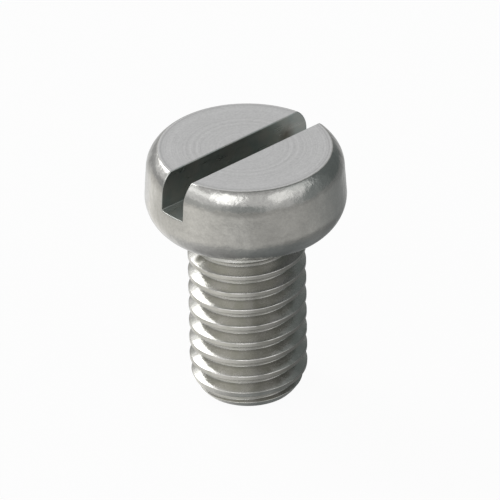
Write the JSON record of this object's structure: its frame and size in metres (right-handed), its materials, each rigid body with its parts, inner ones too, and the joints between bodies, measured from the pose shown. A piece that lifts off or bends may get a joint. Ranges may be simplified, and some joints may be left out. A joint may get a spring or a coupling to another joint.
{
  "type": "slotted cheese head machine screw",
  "caption": "Short fully threaded machine screw with a round slotted cheese head, a rounded shoulder and a chamfered flat end.",
  "frame": {"origin": "on the screw's axis, in the plane of the flat bearing face under the head", "axes": "+Z along the screw's axis out of the slotted top of the head, -Z down the threaded shank, X along the driver slot"},
  "size_m": [0.0082, 0.0082, 0.0113],
  "materials": {
    "steel": "turned top face, smooth bright head, rolled thread"
  },
  "bodies": {
    "root": {"screw": "steel"}
  },
  "joints": []
}
